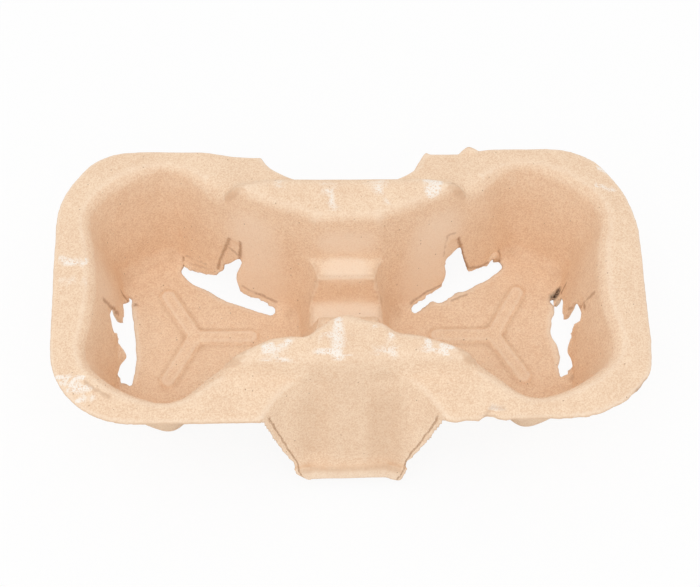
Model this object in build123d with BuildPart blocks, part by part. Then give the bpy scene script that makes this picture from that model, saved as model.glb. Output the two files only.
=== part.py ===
# Two-cup carrier: one sheet of moulded paper fibre, drawn as its upper skin less its under skin.
# +Z up, +X along the row of cups, front towards -Y; the origin is midway between the pockets, on the table.
import os
from math import cos, hypot, radians, sin, tan
from build123d import *

os.makedirs("parts", exist_ok=True)

# Sheet
wall = 2
overrun = 16

# Cup pockets
pocket_spacing = 114
pocket_draft = 13.5
panel_count = 3
panel_reach = 25
panel_bulge = 96
lobe_radius = 39.4
lobe_corner = 4
floor_bevel = 2.4

# Rim
rim_height = 44.5
rim_slope = 14
rim_land = 19
rim_corner = 30
end_land = 15.6
front_land = 6.4

# Bevel where the walls meet the rim and the humps
brim_flare = 45
rim_brim = 2
hump_brim = 2

# Humps over the long sides
hump_height = 55.5
hump_length = 92
hump_setback = 16
hump_corner = 6
hump_bevel = 1.6
face_draft = 24

# Bridge between the pockets
bridge_height = 19
bridge_width = 9.2
step_height = 33
step_width = 32

# Grips: a bell-shaped recess in each hump, with a tab that hangs below the rim
grip_mouth = 63
grip_flat = 28
grip_sag = 2.8
tab_width = 35
tab_sag = 1.6
tab_corner = 3
tab_bottom = 6.5
lip_height = 4.5
lip_flare = 2.2

# Ribs on the pocket floors
rib_length = 24.2
rib_width = 6
rib_height = 1.5
rib_draft = 20

# Slits under the flex panels, each with a notch above it that is torn open part of the way up
slit_length = 41
slit_width = 3.8
slit_height = 3
end_slit_length = 37
end_slit_width = 2.6
end_slit_height = 10
notch_height = 28
notch_open = 18.5
end_notch_open = 21.5
notch_foot = 13
notch_top = 4
notch_web = 1.1

right_angle = 90
half_turn = 180

panel_turn = 2 * half_turn / panel_count
half_spacing = pocket_spacing / 2
pocket_lean = tan(radians(pocket_draft))
pocket_rise = (rim_height - wall) * pocket_lean
bridge_reach = half_spacing - lobe_radius
notch_reach = panel_reach + 2 * wall + notch_height * pocket_lean
brim_lean = tan(radians(brim_flare))
rim_length = pocket_spacing + 2 * (panel_reach + pocket_rise + end_land)
rim_depth = 2 * (lobe_radius + pocket_rise + front_land)
rim_lean = tan(radians(rim_slope))
inner_rim_height = rim_height + front_land * rim_lean
face_lean = tan(radians(face_draft))
face_fall = cos(radians(face_draft))
foot_height = rim_height + hump_setback * rim_lean
foot_reach = rim_depth / 2 - hump_setback
top_reach = foot_reach - (hump_height - foot_height) * face_lean
grip_reach = (hump_setback - (foot_height - rim_height) * face_lean) * face_fall
grip_plane = Plane((0, -foot_reach, foot_height), x_dir=(1, 0, 0), z_dir=(0, face_lean, 1))


# How far a drafted wall stands off, in plan, from one drawn the sheet's depth above it
def skin_shift(depth, draft):
    return depth * tan(radians((right_angle - draft) / 2))


# The leg of the bevel round a pocket's floor at that depth
def bevel_leg(depth):
    half_bend = radians((right_angle - pocket_draft) / 2)
    return floor_bevel + depth * tan(half_bend / 2) / cos(half_bend)


# How far the bend between a wall and its brim drops at that depth
def bend_drop(depth):
    mean_angle = (brim_flare + pocket_draft) / 2
    turn_angle = (brim_flare - pocket_draft) / 2
    return depth * sin(radians(mean_angle)) / cos(radians(turn_angle))


def left_and_right(right):
    return [right, right.mirror(Plane.YZ)]


def front_and_back(front):
    return [front, front.mirror(Plane.XZ)]


def pocket_plan(height, grow):
    with BuildSketch(Plane.XY.offset(height)) as plan:
        with Locations((half_spacing, 0)):
            Circle(lobe_radius + grow)
            with PolarLocations(panel_reach + panel_bulge, panel_count):
                Circle(panel_bulge - grow, mode=Mode.SUBTRACT)
        fillet(plan.vertices(), lobe_corner + grow)
    return plan.sketch


def pocket_void(depth):
    floor_plan = pocket_plan(wall - depth, skin_shift(depth, pocket_draft))
    with BuildPart() as void:
        extrude(floor_plan, amount=hump_height + overrun, taper=-pocket_draft)
        chamfer(void.edges().group_by(Axis.Z)[0], bevel_leg(depth))
    return void.part


# The brim starts a wall below the bend, so that it crosses the pocket's own wall there
def brim_void(depth, brim_height):
    bend_height = brim_height - bend_drop(depth)
    bend_grow = skin_shift(depth, pocket_draft) + (bend_height - wall + depth) * pocket_lean
    start_plan = pocket_plan(bend_height - wall, bend_grow - wall * brim_lean)
    with BuildPart() as void:
        extrude(start_plan, amount=overrun, taper=-brim_flare)
    return void.part


def bridge_plan(depth):
    brim_height = hump_height - hump_brim
    step_rise = (step_height - bridge_height) * pocket_lean
    brim_half = step_width / 2 + (brim_height - step_height) * pocket_lean
    with BuildSketch(Plane.YZ.offset(-bridge_reach)) as plan:
        with BuildLine():
            Polyline(
                (0, bridge_height),
                (bridge_width / 2, bridge_height),
                (bridge_width / 2 + step_rise, step_height),
                (step_width / 2, step_height),
                (brim_half, brim_height),
                (brim_half + overrun * brim_lean, brim_height + overrun),
                (0, brim_height + overrun),
                close=True,
            )
        make_face()
        mirror(about=Plane.YZ)
        if depth:
            offset(amount=depth, kind=Kind.INTERSECTION)
    return plan.sketch


def rim_plan(height, grow):
    with BuildSketch(Plane.XY.offset(height)) as plan:
        RectangleRounded(rim_length + 2 * grow, rim_depth + 2 * grow, rim_corner + grow)
    return plan.sketch


def rim_body(depth, grow):
    edge_height = rim_height - depth / cos(radians(rim_slope)) - grow * rim_lean
    crown_rise = rim_height - depth + rim_land * rim_lean - edge_height
    brims = left_and_right(brim_void(depth, inner_rim_height - rim_brim))
    with BuildPart() as body:
        extrude(rim_plan(-grow, grow), amount=edge_height + grow)
        extrude(rim_plan(edge_height, grow), amount=crown_rise, taper=right_angle - rim_slope)
        add(brims, mode=Mode.SUBTRACT)
    return body.part


def hump_plan(height, inset):
    length = hump_length - 2 * (foot_reach - top_reach) - 2 * inset
    with BuildSketch(Plane.XY.offset(height)) as plan:
        RectangleRounded(length, 2 * (top_reach - inset), hump_corner)
    return plan.sketch


def hump_body(depth):
    top_plan = hump_plan(hump_height - depth, skin_shift(depth, face_draft))
    drop = hump_height - rim_height + 2 * rim_brim
    brims = left_and_right(brim_void(depth, hump_height - hump_brim))
    with BuildPart() as body:
        extrude(top_plan, amount=-drop, taper=-face_draft)
        if not depth:
            chamfer(body.edges().group_by(Axis.Z)[-1], hump_bevel)
        add(brims, mode=Mode.SUBTRACT)
    return body.part


def grip_plan(rise, grow, flare):
    far = flare + grip_reach
    flat = grip_flat / 2
    mouth = grip_mouth / 2
    run = mouth - flat
    chord = hypot(run, grip_reach)
    middle_out = flat + run / 2 + grip_sag * grip_reach / chord
    middle_reach = flare + grip_reach / 2 - grip_sag * run / chord
    with BuildSketch(grip_plane.offset(rise)) as plan:
        with BuildLine():
            Line((0, -flare), (flat, -flare))
            ThreePointArc((flat, -flare), (middle_out, -middle_reach), (mouth, -far))
            Polyline((mouth, -far), (mouth, -far - 2 * overrun), (0, -far - 2 * overrun), (0, -flare))
        make_face()
        mirror(about=Plane.YZ)
        if grow:
            offset(amount=grow, kind=Kind.INTERSECTION)
    return plan.sketch


# The recess leans back with the hump's face, and steps out at the lip along the tab's bottom
def grip_void(depth):
    crest = (hump_height - foot_height) / face_fall + overrun
    lip_drop = (foot_height - tab_bottom - lip_height) / face_fall + depth
    with BuildPart() as void:
        extrude(grip_plan(crest, depth, 0), amount=-crest - lip_drop)
        extrude(grip_plan(-lip_drop, depth, lip_flare), amount=-foot_height)
    return void.part


def tab_block(rise):
    run = (grip_mouth - tab_width) / 2
    drop = rim_height - tab_bottom
    chord = hypot(run, drop)
    middle_out = (grip_mouth + tab_width) / 4 + tab_sag * drop / chord
    middle_height = tab_bottom + drop / 2 - tab_sag * run / chord
    foot = (tab_width / 2, tab_bottom)
    shoulder = (grip_mouth / 2, rim_height)
    with BuildPart() as block:
        with BuildSketch(Plane.XZ.offset(foot_reach)) as plan:
            with BuildLine():
                Line((0, tab_bottom), foot)
                ThreePointArc(foot, (middle_out, middle_height), shoulder)
                Polyline(shoulder, (0, rim_height), (0, tab_bottom))
            make_face()
            fillet(plan.vertices().group_by(Axis.Y)[0].sort_by(Axis.X)[-1], tab_corner)
            mirror(about=Plane.YZ)
            if rise:
                with Locations((0, rim_height + rise / 2)):
                    Rectangle(grip_mouth, rise)
        extrude(amount=2 * overrun)
    return block.part


def rib_body(height, inset):
    width = rib_width - 2 * inset
    length = rib_length - inset
    with BuildPart() as arm:
        with BuildSketch(Plane.XY.offset(height)):
            with Locations(((width / 2 - length) / 2, 0)):
                SlotOverall(length + width / 2, width)
        extrude(amount=rib_height, taper=rib_draft)
    with BuildPart() as arms:
        with Locations((half_spacing, 0)):
            with PolarLocations(0, panel_count):
                add(arm.part)
    return arms.part


def panel_plane(count):
    return Plane((half_spacing, 0, 0)).rotated((0, 0, count * panel_turn))


def facing_plane(count, reach):
    across = panel_plane(count)
    return Plane(across.origin, x_dir=across.y_dir, z_dir=across.x_dir).offset(reach)


# A slit follows the panel's foot, and climbs the wall towards the notch
def slit_block(count, length, width, height):
    inner = panel_reach - width
    half = length / 2
    foot = notch_foot / 2
    with BuildPart() as block:
        with BuildSketch(panel_plane(count)):
            with Locations((panel_reach + panel_bulge, 0)):
                Circle(panel_bulge + width)
            with Locations(((inner + notch_reach) / 2, 0)):
                Rectangle(notch_reach - inner, length, mode=Mode.INTERSECT)
        extrude(amount=wall + height)
        with BuildSketch(facing_plane(count, inner)):
            with BuildLine():
                Polyline((half, wall), (foot, wall + height), (-foot, wall + height), (-half, wall))
                Polyline((-half, wall), (-half, 0), (half, 0), (half, wall))
            make_face()
        extrude(amount=notch_reach - inner, mode=Mode.INTERSECT)
    return block.part


def notch_block(count, height):
    foot = notch_foot / 2
    top = foot - (notch_foot - notch_top) / 2 * (height - wall) / (notch_height - wall)
    with BuildPart() as block:
        with BuildSketch(facing_plane(count, panel_reach)):
            with BuildLine():
                Polyline((-foot, wall), (foot, wall), (top, height), (-top, height), close=True)
            make_face()
        extrude(amount=notch_reach - panel_reach)
    return block.part


# The slit at the carrier's end is narrower in the floor and open higher than the rest
def slit_blocks():
    end_slit = slit_block(0, end_slit_length, end_slit_width, end_slit_height)
    blocks = [end_slit, notch_block(0, end_notch_open)]
    for count in range(1, panel_count):
        slit = slit_block(count, slit_length, slit_width, slit_height)
        blocks += [slit, notch_block(count, notch_open)]
    return blocks


# Above its open part a notch is a recess, with a thin web left at the outer face of the wall
def notch_recess():
    notches = [notch_block(count, notch_height) for count in range(panel_count)]
    deep_void = pocket_void(wall - notch_web)
    with BuildPart() as recess:
        add(notches)
        add(deep_void, mode=Mode.INTERSECT)
    return recess.part


# Upper skin
top_rim = rim_body(0, 0)
top_hump = hump_body(0)
top_pockets = left_and_right(pocket_void(0))
tabs = front_and_back(tab_block(0))
recesses = front_and_back(grip_void(0))
ribs = left_and_right(rib_body(wall, 0))

with BuildPart() as upper:
    add(top_rim)
    add(top_hump)
    add(top_pockets, mode=Mode.SUBTRACT)
    extrude(bridge_plan(0), amount=2 * bridge_reach, mode=Mode.SUBTRACT)
    add(tabs)
    add(recesses, mode=Mode.SUBTRACT)
    add(ribs)

# What stays of the tabs and grips under that skin
tall_tab = tab_block(hump_height - rim_height)
deep_recess = grip_void(wall)

with BuildPart() as tab_keep:
    add(tall_tab)
    add(deep_recess, mode=Mode.INTERSECT)

# Under skin
low_rim = rim_body(wall, overrun)
low_hump = hump_body(wall)
low_pockets = left_and_right(pocket_void(wall))
grooves = left_and_right(rib_body(0, skin_shift(wall, rib_draft)))

with BuildPart() as under:
    add(low_rim)
    add(low_hump)
    add(low_pockets, mode=Mode.SUBTRACT)
    extrude(bridge_plan(wall), amount=2 * bridge_reach, mode=Mode.SUBTRACT)
    add(front_and_back(tab_keep.part), mode=Mode.SUBTRACT)
    add(grooves)

# Slits and notches in the right pocket
open_slits = slit_blocks()
recess = notch_recess()

with BuildPart() as slits:
    add(open_slits)
    add(recess)

# Sheet between the two skins
with BuildPart() as cup_carrier:
    add(upper.part)
    add(under.part, mode=Mode.SUBTRACT)
    add(left_and_right(slits.part), mode=Mode.SUBTRACT)

cup_carrier.part.label = "cup_carrier"
export_step(cup_carrier.part, "parts/cup_carrier.step")
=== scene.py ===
import math
import bmesh
import bpy
from mathutils import Matrix, Vector, noise
from mathutils.bvhtree import BVHTree
from mathutils.geometry import intersect_point_line
from mathutils.kdtree import KDTree


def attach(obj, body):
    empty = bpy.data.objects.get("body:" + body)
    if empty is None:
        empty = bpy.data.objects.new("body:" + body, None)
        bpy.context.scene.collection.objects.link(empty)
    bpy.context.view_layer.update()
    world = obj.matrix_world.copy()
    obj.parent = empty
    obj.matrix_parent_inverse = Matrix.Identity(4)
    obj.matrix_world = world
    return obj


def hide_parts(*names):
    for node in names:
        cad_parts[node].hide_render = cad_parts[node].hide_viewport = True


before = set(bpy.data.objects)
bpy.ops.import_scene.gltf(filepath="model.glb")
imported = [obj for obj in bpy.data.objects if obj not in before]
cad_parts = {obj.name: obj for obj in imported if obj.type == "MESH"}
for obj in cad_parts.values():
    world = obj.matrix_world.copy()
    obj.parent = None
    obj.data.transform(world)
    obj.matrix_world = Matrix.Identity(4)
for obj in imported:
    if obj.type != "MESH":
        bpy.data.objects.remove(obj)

mm = 0.001
noise.seed_set(7)   # its vectors start from the clock otherwise
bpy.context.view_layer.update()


# shader helper

class Wire:  # a socket that takes part in sums
    def __init__(self, tree, socket=None):
        self.tree = tree
        self.socket = socket

    def node(self, kind, settings, inputs, output=0):
        made = self.tree.nodes.new(kind)
        for name, value in settings.items():
            setattr(made, name, value)
        for name, value in inputs.items():
            if isinstance(value, Wire):
                self.tree.links.new(value.socket, made.inputs[name])
            else:
                made.inputs[name].default_value = value
        return Wire(self.tree, made.outputs[output])

    def math(self, operation, first, second=0.0, clamp=False):
        return self.node("ShaderNodeMath", {"operation": operation, "use_clamp": clamp},
                         {0: first, 1: second})

    def __add__(self, other): return self.math("ADD", self, other)
    def __radd__(self, other): return self.math("ADD", other, self)
    def __sub__(self, other): return self.math("SUBTRACT", self, other)
    def __rsub__(self, other): return self.math("SUBTRACT", other, self)
    def __mul__(self, other): return self.math("MULTIPLY", self, other)
    def __rmul__(self, other): return self.math("MULTIPLY", other, self)
    def __truediv__(self, other): return self.math("DIVIDE", self, other)
    def __abs__(self): return self.math("ABSOLUTE", self)

    def clipped(self): return self.math("ADD", self, 0.0, clamp=True)
    def most(self, other): return self.math("MAXIMUM", self, other)
    def least(self, other): return self.math("MINIMUM", self, other)

    def band(self, low, high):  # 0 at low, 1 at high
        return self.node("ShaderNodeMapRange", {"interpolation_type": "SMOOTHSTEP"},
                         {"Value": self, "From Min": low, "From Max": high})

    def mix(self, first, second):  # two colours, by this mask
        return self.node("ShaderNodeMix", {"data_type": "RGBA", "clamp_factor": True},
                         {0: self, 6: first, 7: second}, output=2)

    def axis(self, index):
        return self.node("ShaderNodeSeparateXYZ", {}, {0: self}, output=index)

    def vector(self, operation, first, second, output=0):
        return self.node("ShaderNodeVectorMath", {"operation": operation},
                         {0: first, 1: second}, output)

    def scaled(self, run):  # a fixed run, times this value
        return self.node("ShaderNodeVectorMath", {"operation": "SCALE"}, {0: run, "Scale": self})

    def turned(self, angle, stretch):
        return self.node("ShaderNodeMapping", {}, {"Vector": self, "Rotation": angle, "Scale": stretch})

    def noise(self, size, detail, roughness, output=0):
        inputs = {"Vector": self, "Scale": 1 / size, "Detail": detail, "Roughness": roughness}
        return self.node("ShaderNodeTexNoise", {}, inputs, output)

    def cells(self, size, output=0):
        return self.node("ShaderNodeTexVoronoi", {}, {"Vector": self, "Scale": 1 / size}, output)

    def fromLine(self, start, end):  # how far this place is from a straight line
        run = Vector(end) - Vector(start)
        away = self.vector("SUBTRACT", self, start)
        along = self.vector("DOT_PRODUCT", away, run / run.length_squared, output=1).clipped()
        return self.vector("DISTANCE", away, along.scaled(run), output=1)


def newMaterial(name):
    material = bpy.data.materials.new(name)
    material.use_nodes = True
    tree = material.node_tree
    return material, tree.nodes["Principled BSDF"], Wire(tree)


# carrier shell

floorSide = (-1, 3.4)   # heights in mm: the pocket floors
wallSide = (2.7, 60)    # and the walls above them

carrier = {
    "node": "cup_carrier",
    "weld": 0.01 * mm,
    "voxel": 0.7 * mm,
    "edgeDepth": 3.8 * mm,       # a vertex with more than this behind it is on a cut edge
    "rayStart": 0.05 * mm,
    "edgeSpread": 2,             # vertices beside a cut edge that share in it
    "edgeFade": 0.7,
    "edgeLeast": 0.3,            # with less than this a vertex is off the edge
    "edgeSpare": 0.9,            # how much the edges are spared when the mesh is thinned out
    "smoothing": 0.5,
    "bendPasses": 13,
    "edgePasses": 5,
    "ribPasses": 1,
    "ribReach": 27.5 * mm,       # ribs on the pocket floors keep their edges
    "ribTop": 4.4 * mm,
    "pocketPlace": 57 * mm,
    "ridgePasses": 14,
    "ridgeRise": 0.2 * mm,
    "swells": ((34 * mm, 0.45 * mm), (11 * mm, 0.12 * mm)),
    "frays": ((2.6 * mm, 1.0), (1.1 * mm, 0.5)),
    "fray": 0.09,                # in mm, where nothing more is said
    "rough": (                   # where the edges are rougher: place, reach and how much, in mm
        ((-62, -56, 44), 46, 0.28), ((62, -56, 44), 42, 0.42), ((103, -44, 43), 13, 0.25),
        ((49, -55, 44), 8, 0.9), ((107, 10, 44), 40, 0.16), ((40, 15, 1), 12, 0.8),
        ((80, 12, 1), 8, 0.5), ((84, -16, 3), 7, 0.5), ((-84, -17, 4), 7, 0.4),
        ((-60, 28, 2), 8, 0.3),
    ),
    "nudges": (                  # bent and torn places: place, reach, move and heights, in mm
        ((-58, 26.2, 1), 9, (-0.6, -1.0, 0), floorSide),        # left pocket, back slit
        ((-46.4, 18.4, 1), 9, (-0.4, -0.6, 0), floorSide),
        ((-37.8, 19.2, 6), 9, (-1.7, -0.1, -0.4), wallSide),
        ((-38.6, 22.5, 13), 8, (-1.5, 0.2, 0), wallSide),
        ((-44.8, 27.6, 18.5), 6, (-0.6, -1.1, -5.5), wallSide),
        ((-55.5, 29.3, 4), 8, (0, -0.9, -0.6), wallSide),
        ((-62.3, 31.9, 3), 4, (0.3, -0.9, -0.5), wallSide),
        ((-47.6, 26.4, 11.9), 5, (1.0, -0.6, -2.0), wallSide),
        ((-38.5, 21, 12), 6, (-0.9, 0.3, 0), wallSide),
        ((-36.1, 18.3, 5.6), 6, (0, -0.4, -0.9), wallSide),
        ((-80.6, 14, 2), 7, (-1.5, 0, 0), floorSide),           # left pocket, end slit
        ((-79, 6, 2), 9, (-1.5, 0, 0), floorSide),
        ((-78.5, -3, 2), 7, (-0.7, 0, 0), floorSide),
        ((-86.1, 4.3, 14.4), 6, (-0.5, -1.0, -3.0), wallSide),
        ((-87.5, -1.5, 20), 6, (-1.2, -3.0, -1.0), wallSide),
        ((-85, -9.5, 8), 6, (2.6, 0, 0), wallSide),
        ((-85, -19.5, 5), 6, (-2.4, -2.2, 0), wallSide),
        ((-81.5, -19, 1.5), 5, (0, -1.5, 0), floorSide),
        ((43.8, 27.9, 20), 4, (0.3, 0.8, 2.8), wallSide),       # right pocket, back slit
        ((59.7, 32.5, 4), 5, (0, 0.7, 1.2), wallSide),
        ((38, 20.9, 11.9), 6, (0.9, 0, 0), wallSide),
        ((44.7, 16.5, 1), 8, (-0.5, 1.2, 0), floorSide),
        ((35, 13, 1), 5, (-0.3, 1.2, 0), floorSide),
        ((52, 21, 1), 6, (-0.3, 0.7, 0), floorSide),
        ((79.8, 13, 1), 6, (1.7, 0, 0), floorSide),             # right pocket, end slit
        ((79, 5, 1), 7, (0.7, 0, 0), floorSide),
        ((80, -7, 1), 7, (1.6, 0, 0), floorSide),
        ((86.1, 4.5, 13.3), 6, (0.2, -1.2, -2.8), wallSide),
        ((88, -2.5, 22), 5, (1.2, -1.5, -0.5), wallSide),
        ((85.5, -9, 9), 5, (-1.0, 0, 0), wallSide),
        ((81, -14, 1), 5, (-1.0, 0, 0), floorSide),
        ((85.3, -15.9, 6), 6, (1.2, 0, 0), wallSide),
        ((85.1, -19.5, 5), 5, (1.4, -0.8, 0), wallSide),
        ((33.8, 12.2, 1), 9, (-0.75, 1.3, 0), floorSide),       # its back slit again
        ((44, 17, 1), 7, (-0.3, 0.5, 0), floorSide),
        ((59.5, 32.3, 3.5), 4, (0.2, 0.5, 1.8), wallSide),
        ((79.7, 9, 1), 8, (1.0, 0, 0), floorSide),              # and its end slit
        ((79.8, -4, 1), 7, (1.5, 0, 0), floorSide),
        ((80.6, -13, 1), 8, (2.4, 0, 0), floorSide),
        ((86, -6.5, 12), 9, (0.9, -0.5, 0), wallSide),
        ((84.5, 6, 12), 6, (-0.8, -0.5, -2.5), wallSide),
        ((84.6, -14, 4.5), 5, (0.6, 0, 1.2), wallSide),
        ((82, 17.5, 2.7), 6, (-0.4, -3.2, 0), floorSide),
        ((82.5, 17.5, 2.7), 6, (-0.4, -3.2, 0), wallSide),
        ((-86, -6.5, 12), 9, (-0.9, -0.5, 0), wallSide),        # left pocket, end slit
        ((-84.5, 6, 12), 6, (0.8, -0.5, -2.5), wallSide),
        ((-84.6, -14, 4.5), 6, (-1.2, 0, 2.8), wallSide),
        ((-83.5, 15, 3.5), 5, (1.4, -1.0, -1.0), wallSide),
        ((46.4, 56, 43.5), 3, (-0.2, 1.8, 0.6), wallSide),      # nub on the back edge
        ((48.8, 56, 43.5), 3, (0.2, 1.8, 0.6), wallSide),
        ((30.5, 55.5, 43.5), 3, (0.3, 0.9, 0.6), wallSide),
        ((48, -56, 43.5), 4, (0, 1.6, 0.3), wallSide),          # nick in the front edge
        ((35, -56, 44), 6, (0, -0.7, -0.2), wallSide),
        ((17.5, -61.5, 6.5), 4, (0.8, -0.5, -0.6), wallSide),   # front tab's corners
        ((-18, -61, 7), 4.5, (0.8, 0.2, 0.4), wallSide),
        ((-33, 55, 44), 14, (0, -1.2, -0.2), wallSide),         # back edge and humps
        ((29, 53, 45), 6, (-1.2, 0, 0), wallSide),
        ((28, -29, 53), 9, (0, -0.8, 0), wallSide),
    ),
    "bows": (                    # the same along a line: two ends, reach, move and heights
        ((-92, 53, 44), (-56, 57, 44), 14, (-0.3, 1.7, 0.1), wallSide),         # rim
        ((58, 57, 44), (95, 53, 44), 14, (0.3, 2.0, 0.1), wallSide),
        ((108, 20, 44), (106, -36, 44), 14, (1.5, -0.2, 0), wallSide),
        ((105, -38, 44), (99, -47, 44), 9, (0.7, -0.7, 0), wallSide),
        ((-26, 40, 53), (26, 40, 53), 14, (0, 1.2, 0.1), wallSide),             # back hump
        ((33, -56, 43), (22.5, -59, 19), 8, (1.7, 0, 0), wallSide),             # front tab
        ((-33, -56, 43), (-22.5, -59, 19), 8, (-1.0, 0, 0), wallSide),
        ((20.5, -60, 15), (18.5, -61.5, 8), 5.5, (0.9, -0.2, 0), wallSide),
        ((-20.5, -60, 16), (-19.5, -61, 11), 5, (-0.2, 0, 0), wallSide),
        ((-15, -61, 7), (17, -61, 7), 9, (0, -0.9, -0.8), wallSide),
        ((-12.8, -42, 44), (-12.5, -55, 15), 7, (0, 1.1, -0.5), wallSide),      # its two shallow valleys
        ((11.5, -42, 44), (12, -56, 12), 7.5, (0, 1.3, -0.6), wallSide),
        ((-15, -21.8, 54), (-14, -17.8, 38), 8.5, (0.3, -3.0, 0), wallSide),    # front hump's peak
        ((-21, -25, 54), (-20, -21, 38), 9, (0, -1.4, 0), wallSide),
        ((-1.5, -20, 54), (-1.5, -17, 44), 9, (0, 2.6, 0), wallSide),
        ((17, -24.5, 54), (16, -20.5, 38), 11, (0, -2.2, 0), wallSide),
    ),
    "blends": (                  # bends that are softer: place, reach in mm and passes
        ((-44, 38, 50), 10, 40), ((44, 38, 50), 10, 40),
        ((0, -60, 11), 22, 16), ((0, 60, 11), 22, 16), ((-15, -13, 33), 8, 40),
    ),
    "triangles": 188000,
}

scuffs = (  # pale rubbed streaks: half width in mm, strength, and the points they run through
    (2.2, 0.9, (-30.4, -32.2, 55.5), (-30, -36.2, 54.9)),
    (1.6, 0.8, (-28.5, -31.2, 55.5), (-27.6, -33.9, 55.5)),
    (1.7, 0.8, (-22.3, -28.9, 55.5), (-23.3, -31.3, 55.5)),
    (0.7, 0.9, (-25.1, -31.2, 55.5), (-25.4, -36.6, 54.6), (-21.5, -37.7, 53.7)),
    (1.3, 0.5, (-10.4, -26.6, 55.5), (-11.7, -30.3, 55.5)),
    (1.7, 1.0, (-4.6, -21.6, 55.3), (-5.2, -36.3, 54.9)),
    (1.6, 0.7, (-12.2, -34.1, 55.5), (-7.7, -34.1, 55.5)),
    (1.2, 0.7, (8.7, -24.1, 55.5), (8.4, -27.4, 55.5)),
    (1.5, 0.7, (14.2, -26.1, 55.5), (14.3, -29.6, 55.5)),
    (1.2, 0.6, (8.7, -32.5, 55.5), (8.6, -35.4, 55.4)),
    (1.8, 0.8, (14.4, -32.8, 55.5), (14.2, -36.7, 54.6)),
    (1.8, 0.8, (27.3, -29.8, 55.5), (26.9, -34.1, 55.5)),
    (1.7, 0.9, (35.5, -33.1, 55.4), (32.4, -32.1, 55.5), (33.7, -37.2, 54.2)),
    (2.6, 0.4, (-25, 37, 54.8), (-24.9, 33.4, 55.5)),
    (0.8, 0.7, (-9.2, 36.6, 55), (-8.8, 26.8, 55.5)),
    (1.1, 0.9, (-6, 36.6, 55), (-5.5, 24.9, 55.5)),
    (0.9, 0.7, (9.6, 36.6, 55), (10.4, 31.1, 55.5)),
    (1.5, 0.7, (13, 36.6, 55), (11.8, 31.1, 55.5)),
    (0.9, 0.6, (14.5, 29.4, 55.5), (14.7, 26.9, 55.5)),
    (2.6, 0.9, (30.5, 37, 54.8), (31.5, 31, 55.5)),
    (2.4, 0.8, (34.5, 37, 54.6), (33, 31.6, 55.4)),
    (0.9, 1.0, (-106.1, 10.9, 44.9), (-95.2, 9.3, 46.6)),
    (0.9, 1.0, (-105, 8.9, 45.2), (-95.7, 7.5, 47.2)),
    (0.9, 1.0, (-105.4, 1, 45.1), (-95.5, 0.1, 47.2)),
    (0.9, 1.0, (-104.9, -37.8, 44.6), (-95, -38.6, 46.7)),
    (0.9, 1.0, (-103.3, -40, 44.7), (-92.3, -42.8, 46.4)),
    (0.9, 1.0, (-100.6, -42.9, 44.9), (-94.2, -43.3, 46)),
    (0.9, 1.0, (-97.4, -47.2, 44.8), (-91, -46.4, 45.9)),
    (1.1, 0.7, (94.4, 39.9, 46.6), (102, 38.7, 45.2)),
    (1.3, 0.7, (96.3, 47.4, 44.9), (99, 46.8, 44.6)),
    (1.4, 0.7, (49.3, -52.2, 45.5), (52.5, -52.5, 45.4)),
)

paintedLight = (  # places painted paler all over as light, given in the same way
    (7, 0.9, (-4, 12, 33), (4, 12, 33)),
    (9, 0.8, (-6, 0, 19), (6, 0, 19)),
    (9, 0.7, (-5, 18, 42), (5, 18, 42)),
    (15, 0.7, (-36, 24, 36), (-31, 17, 12)),
    (15, 0.8, (36, 24, 36), (31, 17, 12)),
    (14, 0.4, (-92, 4, 34), (-90, 4, 20)),
    (4, 0.5, (-16, -61, 8), (16, -61, 8)),
)

paintedShade = (  # and places painted darker as shade
    (10, 0.62, (-12.8, -46, 35), (-12.5, -53, 20)),     # painted shade in the front tab's valleys
    (10.5, 0.85, (11.8, -46, 34), (12, -56, 12)),
    (20, 0.4, (0, -42, 44), (0, -54, 16)),              # and painted shade on its face
)


def shellCopy(source, name):
    mesh = source.data.copy()
    mesh.name = name
    shell = bpy.data.objects.new(name, mesh)
    bpy.context.scene.collection.objects.link(shell)
    mesh.materials.clear()
    bm = bmesh.new()
    bm.from_mesh(mesh)
    bmesh.ops.remove_doubles(bm, verts=bm.verts, dist=carrier["weld"])
    bm.to_mesh(mesh)
    bm.free()
    return shell


def applied(shell):  # the mesh as its modifiers leave it
    bpy.context.view_layer.update()
    done = shell.evaluated_get(bpy.context.evaluated_depsgraph_get())
    mesh = bpy.data.meshes.new_from_object(done)
    shell.modifiers.clear()
    shell.data = mesh


def feltSkin(shell):
    felt = shell.modifiers.new("felt", "REMESH")
    felt.mode = "VOXEL"
    felt.voxel_size = carrier["voxel"]
    applied(shell)


def thinOut(shell, weights):  # fewer triangles, most of them kept along the cut edges
    group = shell.vertex_groups.new(name="cutEdges")
    for index, weight in enumerate(weights):
        group.add([index], 1 - carrier["edgeSpare"] * weight, "REPLACE")
    thin = shell.modifiers.new("thin", "DECIMATE")
    thin.vertex_group = group.name
    thin.vertex_group_factor = 1.0
    thin.ratio = min(1, carrier["triangles"] / (2 * len(shell.data.polygons)))
    applied(shell)
    shell.vertex_groups.clear()


def relax(bm, verts, passes):
    for step in range(passes):
        bmesh.ops.smooth_vert(bm, verts=verts, factor=carrier["smoothing"],
                              use_axis_x=True, use_axis_y=True, use_axis_z=True)


def cutEdges(bm):  # 1 on the sheet's cut edges, fading over the vertices beside them
    bm.normal_update()
    tree = BVHTree.FromBMesh(bm)
    weights = []
    for vert in bm.verts:
        start = vert.co - vert.normal * carrier["rayStart"]
        hit = tree.ray_cast(start, -vert.normal, carrier["edgeDepth"])
        weights.append(0.0 if hit[0] else 1.0)
    for step in range(carrier["edgeSpread"]):
        spread = list(weights)
        for vert in bm.verts:
            near = max(weights[edge.other_vert(vert).index] for edge in vert.link_edges)
            spread[vert.index] = max(weights[vert.index], carrier["edgeFade"] * near)
        weights = spread
    return weights


def onRib(place):
    side = abs(place.x) - carrier["pocketPlace"]
    return place.z < carrier["ribTop"] and math.hypot(side, place.y) < carrier["ribReach"]


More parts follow.
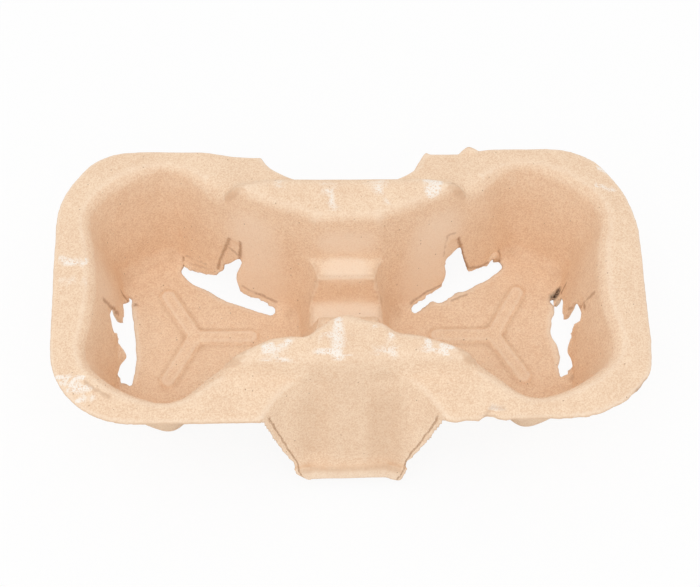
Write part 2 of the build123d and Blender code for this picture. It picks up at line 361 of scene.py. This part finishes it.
def soften(bm, weights):
    inside = [vert for vert in bm.verts if weights[vert.index] < carrier["edgeLeast"]]
    free = [vert for vert in inside if not onRib(vert.co)]
    relax(bm, free, carrier["bendPasses"])
    relax(bm, [vert for vert in bm.verts if onRib(vert.co)], carrier["ribPasses"])
    relax(bm, bm.verts, carrier["edgePasses"])
    for place, reach, passes in carrier["blends"]:
        near = [vert for vert in free if (vert.co - Vector(place) * mm).length < reach * mm]
        relax(bm, near, passes)


def ridges(bm):  # how far more smoothing would pull the skin back: + on ridges, - in valleys
    bm.normal_update()
    held = [vert.co.copy() for vert in bm.verts]
    relax(bm, bm.verts, carrier["ridgePasses"])
    rises = [(was - vert.co).dot(vert.normal) / carrier["ridgeRise"]
             for was, vert in zip(held, bm.verts)]
    for was, vert in zip(held, bm.verts):
        vert.co = was
    return rises


def vertTree(bm):
    tree = KDTree(len(bm.verts))
    for vert in bm.verts:
        tree.insert(vert.co, vert.index)
    tree.balance()
    return tree


def alongLine(tree, start, end, reach):  # vertices near a line, with 1 on it and 0 at its reach
    first, last = Vector(start) * mm, Vector(end) * mm
    length = (last - first).length
    for co, index, away in tree.find_range((first + last) / 2, length / 2 + reach * mm):
        along = intersect_point_line(co, first, last)[1] if length else 0
        gap = (co - first.lerp(last, min(1, max(0, along)))).length / (reach * mm)
        if gap < 1:
            yield co, index, 1 - gap ** 2


def painted(bm, tree, rows):  # how much of some streaks each vertex has
    marks = [0.0] * len(bm.verts)
    for half, strength, *points in rows:
        for start, end in zip(points, points[1:]):
            for co, index, share in alongLine(tree, start, end, half):
                marks[index] = max(marks[index], strength * share)
    return marks


def nudge(bm, tree):
    rows = [(place, place, *rest) for place, *rest in carrier["nudges"]]
    for start, end, reach, move, (low, high) in rows + list(carrier["bows"]):
        for co, index, share in alongLine(tree, start, end, reach):
            if low * mm <= co.z <= high * mm:
                bm.verts[index].co += share ** 2 * mm * Vector(move)


def wander(bm):  # the sheet is never quite flat
    for size, reach in carrier["swells"]:
        for vert in bm.verts:
            vert.co += reach * noise.noise_vector(vert.co / size)


def fray(bm, weights):
    for vert in bm.verts:
        if weights[vert.index] > carrier["edgeLeast"]:
            much = carrier["fray"]
            for place, reach, extra in carrier["rough"]:
                away = (vert.co - Vector(place) * mm).length / (reach * mm)
                if away < 1:
                    much = max(much, extra * (1 - away ** 2))
            for size, share in carrier["frays"]:
                throw = weights[vert.index] * share * much * mm
                vert.co += throw * noise.noise_vector(vert.co / size)


def setFeet(bm):  # nothing sinks into the table
    for vert in bm.verts:
        vert.co.z = max(vert.co.z, 0)


shell = shellCopy(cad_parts[carrier["node"]], "pulp_shell")
feltSkin(shell)
bm = bmesh.new()
bm.from_mesh(shell.data)
bm.verts.ensure_lookup_table()
print("felt skin:", len(bm.verts), "vertices")
weights = cutEdges(bm)
soften(bm, weights)
rises = ridges(bm)
tree = vertTree(bm)
# scuffs are real marks; the other two lists are painted light and painted shade
streaks = {"scuff": scuffs, "paintedLight": paintedLight, "paintedShade": paintedShade}
marks = {name: painted(bm, tree, rows) for name, rows in streaks.items()}
nudge(bm, tree)
wander(bm)
fray(bm, weights)
setFeet(bm)
bm.to_mesh(shell.data)
bm.free()
marks.update(cutEdge=weights, ridge=rises)
for name, values in marks.items():
    shell.data.attributes.new(name, "FLOAT", "POINT").data.foreach_set("value", values)
thinOut(shell, weights)
for face in shell.data.polygons:
    face.use_smooth = True
print("carrier shell:", len(shell.data.vertices), "vertices,", len(shell.data.polygons), "faces")


# moulded fibre

pulp = {
    "pale": (0.965, 0.755, 0.555, 1),
    "tan": (0.795, 0.55, 0.372, 1),
    # a darker brown for grain, dust and frayed edges, also used for painted shade
    "brownAndShade": (0.56, 0.33, 0.19, 1),
    # near-black for a painted shadow in a slit's gap
    "slitShadow": (0.045, 0.03, 0.022, 1),
    "speck": (0.3, 0.17, 0.1, 1),
    # brown for tear lines, also used for painted shade lines
    "tearAndShade": (0.33, 0.155, 0.07, 1),
    "chalk": (0.96, 0.88, 0.79, 1),
    # pale fibres, also used for painted highlights and painted light
    "fibreAndHighlight": (0.95, 0.77, 0.6, 1),
    "roughness": 0.92,
    "specular": 0.2,
    "bump": 0.6,
    "bumpDepth": 0.3 * mm,
    "size": {                    # of the grain, and of what lies in it
        "blotch": 15 * mm, "clump": 3.2 * mm, "grain": 1.0 * mm, "fine": 0.55 * mm,
        "fibre": 2.4 * mm, "speck": 2.9 * mm, "dust": 1.3 * mm, "shake": 2.2 * mm,
    },
    "much": {                    # how far each mark takes over from the colour under it
        # the tab darkening and the valley darkenings are painted shade; the ridge paling is painted
        # highlight
        "paintedShade": 0.36, "dark": 0.14, "hairs": 0.3, "valleyShade": 0.1, "ribShade": 0.3, "paintedHighlight": 0.75,
        "speck": 0.6, "dust": 0.35, "edge": 0.5, "split": 0.9, "torn": 0.8,
    },
    "fibreTurns": ((0.3, 0.2, 0.5), (0.1, -0.4, -0.9)),
    "fibreStretch": (1, 5, 5),
    "ribHeights": (5 * mm, 3.5 * mm),   # painted valley shade is stronger from here down, around the ribs
    "streakOut": 2.2,            # half widths where a streak begins, and where it is full
    "streakIn": 0.2,
    "shake": 0.8 * mm,           # how far cracks stray
    "tabFoot": 17.5 * mm,        # the tab's side: out at its foot, at its shoulder and in between
    "tabShoulder": 31.5 * mm,
    "tabBulge": 6 * mm,
    "tabLow": 6.5 * mm,
    "tabHigh": 44.5 * mm,
    "tabLean": 0.4 * mm,         # the front tab leans to one side
    "splitIn": 0.7 * mm,         # how far in from that side the sheet has split
    "splitOut": 0.48 * mm,       # how far from its middle the split ends, and is still full
    "splitFull": 0.15 * mm,
    "splitStray": 1.2 * mm,
    "tabOut": (46 * mm, 48 * mm),       # the tabs are further out than this
    "tabUnder": (43 * mm, 40 * mm),     # and lower than this
}

cracksAndShadeLines = (  # dark lines where the sheet is torn or creased, and some painted shade lines, given as the scuffs are
    (0.45, 0.9, (-62, 35.1, 4.2), (-62.7, 30, 2)),
    (0.4, 0.5, (-60.7, 34.9, 5.6), (-53.2, 29.5, 8.7)),
    (0.4, 0.4, (-59, 32.3, 4.1), (-52.7, 28.6, 7)),
    (0.5, 0.8, (-43.6, 28.6, 28.3), (-46.6, 27.7, 18.5), (-48.6, 26.4, 9.7)),
    (0.6, 0.9, (-39.6, 26.4, 29.3), (-39.8, 25.1, 20.1), (-40.6, 23.2, 11)),
    (0.4, 0.5, (-44.1, 28, 23.3), (-40.4, 25.7, 21.1)),
    (0.4, 0.5, (-45.2, 28.2, 16.9), (-42.4, 27.2, 14.5)),
    (0.55, 0.7, (-38.6, 19.8, 8), (-36.8, 19, 7), (-26.2, 14.3, 4.9)),
    (0.6, 0.9, (-85.8, 17, 9.2), (-83.6, 16, 4.5), (-80.3, 15, 2)),
    (0.6, 0.8, (-89.9, -0.8, 34.9), (-85.8, 4.4, 14.3)),
    (0.7, 0.8, (-86.4, -19.9, 9.8), (-86.2, -20.7, 8.5)),
    # painted shadow line along the rim's front-left inner edge
    (0.5, 0.4, (-94.6, -40.4, 46.4), (-91.1, -43.5, 46.5), (-86, -46.7, 46.4)),
    (0.4, 0.5, (38, 23.9, 22.6), (38.7, 26.8, 32.5), (41.8, 28.4, 31.8)),
    (0.6, 0.9, (43.5, 28.3, 27.9), (45.8, 27.4, 16.6), (48.6, 26.1, 8.8)),
    (0.5, 0.7, (48.6, 26.1, 8.8), (53.5, 28.4, 5.6), (56.9, 30.8, 5)),
    (0.6, 1.0, (61.1, 35.5, 6.1), (61.8, 32.9, 3)),
    (0.5, 0.7, (26.1, 13.6, 4), (32.3, 17, 6.4), (38.7, 20, 7.3)),
    (0.4, 0.6, (42.4, 15.6, 2), (48.2, 18.1, 2)),
    (0.6, 1.0, (86.4, 17.5, 11.4), (84.7, 15.6, 7)),
    (0.5, 0.7, (91.2, -2.7, 39.6), (88.6, -0.6, 25.4), (85.6, 4.6, 14)),
    (0.7, 0.9, (88.7, -2.7, 29.4), (88.9, -3.6, 30)),
    (0.8, 0.9, (85.1, -20.6, 5), (85.3, -19.8, 5.5)),
    (0.9, 1.0, (102.3, -46, 43.3), (106.2, -42, 43.5)),
    # painted shade lines where the back hump's ends meet the rim
    (0.4, 0.25, (39.4, 36.1, 54.5), (47, 39.8, 47.7)),
    (0.4, 0.2, (-47.3, 40.5, 48), (-37.2, 37.3, 54.2)),
    (0.5, 0.35, (46.8, -55.2, 44.6), (49.3, -52.2, 45.5), (53.5, -52.6, 45.4)),
)

# a near-black painted shadow in the gap at the back end of the right pocket's end slit
slitShadows = (
    (1.3, 1.0, (82.4, 16.1, 2.2), (84.4, 17.7, 4)),
)


def strokes(place, rows):  # the strongest of some streaks, from 0 to 1
    whole = None
    for half, strength, *points in rows:
        away = None
        for start, end in zip(points, points[1:]):
            this = place.fromLine(Vector(start) * mm, Vector(end) * mm)
            away = away.least(this) if away else this
        wide = half * mm
        streak = away.band(pulp["streakOut"] * wide, pulp["streakIn"] * wide) * strength
        whole = whole.most(streak) if whole else streak
    return whole


def tabSplit(place, wobble):  # the dark line down the tabs' sides, where the sheet has come apart
    climb = ((place.axis(2) - pulp["tabLow"]) / (pulp["tabHigh"] - pulp["tabLow"])).clipped()
    spread = pulp["tabShoulder"] - pulp["tabFoot"]
    side = pulp["tabFoot"] + climb * spread + climb * (1 - climb) * pulp["tabBulge"]
    inward = side - abs(place.axis(0) - pulp["tabLean"]) - pulp["splitIn"]
    away = abs(inward + (wobble - 0.5) * pulp["splitStray"])
    onTab = abs(place.axis(1)).band(*pulp["tabOut"]) * place.axis(2).band(*pulp["tabUnder"])
    return away.band(pulp["splitOut"], pulp["splitFull"]) * onTab


def pulpMaterial():
    material, shader, wire = newMaterial("moulded_pulp")
    size, much = pulp["size"], pulp["much"]
    place = wire.node("ShaderNodeTexCoord", {}, {}, output=3)
    edge, ridge, scuff, paintedLightMask, paintedShadeMask = [
        wire.node("ShaderNodeAttribute", {"attribute_name": name}, {}, output=2)
        for name in ("cutEdge", "ridge", "scuff", "paintedLight", "paintedShade")]
    blotch = place.noise(size["blotch"], 3, 0.55)
    clump = place.noise(size["clump"], 2, 0.5)
    grain = place.noise(size["grain"], 3, 0.65)
    fine = place.noise(size["fine"], 2, 0.6)
    fibreA, fibreB = [place.turned(turn, pulp["fibreStretch"]).noise(size["fibre"], 1, 0.5)
                      for turn in pulp["fibreTurns"]]

    coarse = 0.5 + (blotch - 0.5) * 0.5 + (clump - 0.5) * 0.5
    tone = coarse + (grain - 0.5) * 1.1 + (fine - 0.5) * 2.3
    colour = tone.band(-0.1, 1.1).mix(pulp["tan"], pulp["pale"])
    # painted shade on the front tab's face and valleys
    colour = (paintedShadeMask * much["paintedShade"]).mix(colour, pulp["brownAndShade"])
    dark = grain.band(0.56, 0.72) * fine.band(0.5, 0.68)
    colour = (dark * much["dark"]).mix(colour, pulp["brownAndShade"])
    hairs = fibreA.band(0.66, 0.76).most(fibreB.band(0.68, 0.78))
    colour = (hairs * much["hairs"]).mix(colour, pulp["fibreAndHighlight"])
    # painted shade in valleys, stronger on the pocket floors around the ribs
    valleyShade = (ridge * -1).band(0.25, 1.3)
    depth = much["valleyShade"] + much["ribShade"] * place.axis(2).band(*pulp["ribHeights"])
    colour = (valleyShade * depth).mix(colour, pulp["brownAndShade"])
    # painted highlight along ridges, and painted light on the paler places
    paintedHighlight = ridge.band(0.2, 1.4) * (1 - edge) * (0.45 + grain * 0.8)
    paintedPaleMask = (paintedHighlight * much["paintedHighlight"]).most(paintedLightMask.band(0, 0.9) * (0.4 + fine))
    colour = paintedPaleMask.mix(colour, pulp["fibreAndHighlight"])

    chosen = place.cells(size["speck"], output=1).axis(0).band(0.66, 0.8)   # few cells hold a speck
    specks = place.cells(size["speck"]).band(0.12, 0.06) * chosen
    colour = (specks * much["speck"]).mix(colour, pulp["speck"])
    chosen = place.cells(size["dust"], output=1).axis(1).band(0.7, 0.85)
    dust = place.cells(size["dust"]).band(0.16, 0.08) * chosen
    colour = (dust * much["dust"]).mix(colour, pulp["brownAndShade"])

    frayed = edge.band(0.4, 1.0) * fine.band(0.3, 0.7)
    colour = (frayed * much["edge"]).mix(colour, pulp["brownAndShade"])
    shake = place.noise(size["shake"], 2, 0.6, output=1)
    stray = wire.node("ShaderNodeVectorMath", {"operation": "MULTIPLY_ADD"},
                      {0: shake, 1: (2 * pulp["shake"],) * 3, 2: (-pulp["shake"],) * 3})
    shaken = place.vector("ADD", place, stray)
    chalky = scuff.band(0.05, 0.7) * (grain * 0.5 + fine * 0.7).band(0.42, 0.66)
    colour = chalky.mix(colour, pulp["chalk"])
    split = tabSplit(place, clump) * grain.band(0.3, 0.5)
    # tear lines, some of them painted shade lines along edges and creases
    torn = strokes(shaken, cracksAndShadeLines).most(split * much["split"])
    ragged = torn * (0.55 + 0.45 * fine.band(0.35, 0.6))
    colour = (ragged * much["torn"]).mix(colour, pulp["tearAndShade"])
    # painted shadow, near black, in a slit's gap
    slitShadowMask = strokes(shaken, slitShadows) * (0.55 + 0.45 * grain.band(0.4, 0.5))
    colour = slitShadowMask.mix(colour, pulp["slitShadow"])
    wire.tree.links.new(colour.socket, shader.inputs["Base Color"])

    height = grain * 0.5 + fine * 0.35 + clump * 0.6 + hairs * 0.25
    bump = wire.node("ShaderNodeBump", {}, {"Strength": pulp["bump"], "Distance": pulp["bumpDepth"],
                                            "Height": height})
    wire.tree.links.new(bump.socket, shader.inputs["Normal"])
    shader.inputs["Roughness"].default_value = pulp["roughness"]
    shader.inputs["Specular IOR Level"].default_value = pulp["specular"]
    return material


shell.data.materials.append(pulpMaterial())
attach(shell, "root")
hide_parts(carrier["node"])
print("pulp material on")


# studio

studio = {
    "floorSize": 40.0,
    "floorDrop": 0.05 * mm,
    "floorColour": (0.9, 0.9, 0.9, 1),
    "floorRoughness": 0.9,
    "floorShine": 0.9,           # how much of the floor's white is its own, to the camera
    "world": 0.84,
    "keyPower": 4.2,
    "keySize": 1.1,
    "keyPlace": (-0.2, -0.45, 1.25),
}

view = {
    "target": (0, 0, 22 * mm),
    "elevation": 61.02,
    "yaw": -5.11,
    "roll": 3.84,
    "distance": 0.7632,
    "lens": 104.39,
    "sensor": 36,
    "clipStart": 0.01,
    "imageWidth": 700,
    "offset": (-3.78, 18.38),    # pixels right and down of the middle
}


def makeFloor():
    bm = bmesh.new()
    bmesh.ops.create_grid(bm, x_segments=1, y_segments=1, size=studio["floorSize"] / 2,
                          matrix=Matrix.Translation((0, 0, -studio["floorDrop"])))
    mesh = bpy.data.meshes.new("floor")
    bm.to_mesh(mesh)
    bm.free()
    floor = bpy.data.objects.new("floor", mesh)
    bpy.context.scene.collection.objects.link(floor)
    material, shader, wire = newMaterial("pale_floor")
    shader.inputs["Base Color"].default_value = studio["floorColour"]
    shader.inputs["Roughness"].default_value = studio["floorRoughness"]
    rays = [wire.node("ShaderNodeLightPath", {}, {}, output=name)
            for name in ("Is Camera Ray", "Is Glossy Ray", "Is Transmission Ray")]
    seen = rays[0].most(rays[1]).most(rays[2])
    shine = wire.node("ShaderNodeEmission", {}, {"Color": (1, 1, 1, 1), "Strength": 1.0})
    base = Wire(wire.tree, shader.outputs[0])
    blend = wire.node("ShaderNodeMixShader", {}, {0: seen * studio["floorShine"], 1: base, 2: shine})
    wire.tree.links.new(blend.socket, wire.tree.nodes["Material Output"].inputs["Surface"])
    mesh.materials.append(material)


def makeLight():
    world = bpy.data.worlds.new("studio")
    bpy.context.scene.world = world
    world.use_nodes = True
    sky = world.node_tree.nodes["Background"]
    sky.inputs["Color"].default_value = (1, 1, 1, 1)
    sky.inputs["Strength"].default_value = studio["world"]
    lamp = bpy.data.lights.new("softbox", "AREA")
    lamp.size = studio["keySize"]
    lamp.energy = studio["keyPower"]
    key = bpy.data.objects.new("softbox", lamp)
    key.location = studio["keyPlace"]
    aim = Vector(view["target"]) - key.location
    key.rotation_euler = aim.to_track_quat("-Z", "Y").to_euler()
    bpy.context.scene.collection.objects.link(key)


def makeCamera():
    lift = math.radians(view["elevation"])
    swing = math.radians(view["yaw"])
    roll = math.radians(view["roll"])
    level = Vector((math.sin(swing), -math.cos(swing), 0))
    back = level * math.cos(lift) + Vector((0, 0, math.sin(lift)))
    right = (-back).cross(Vector((0, 0, 1))).normalized()
    up = back.cross(right)
    turnedRight = right * math.cos(roll) + up * math.sin(roll)
    turnedUp = up * math.cos(roll) - right * math.sin(roll)
    data = bpy.data.cameras.new("camera")
    data.lens = view["lens"]
    data.sensor_width = view["sensor"]
    data.shift_x = -view["offset"][0] / view["imageWidth"]
    data.shift_y = view["offset"][1] / view["imageWidth"]
    data.clip_start = view["clipStart"]
    camera = bpy.data.objects.new("camera", data)
    place = Vector(view["target"]) + back * view["distance"]
    axes = Matrix((turnedRight, turnedUp, back)).transposed().to_4x4()
    camera.matrix_world = Matrix.Translation(place) @ axes
    bpy.context.scene.collection.objects.link(camera)
    bpy.context.scene.camera = camera


makeFloor()
makeLight()
makeCamera()
bpy.context.scene.view_settings.view_transform = "Standard"
print("studio ready")
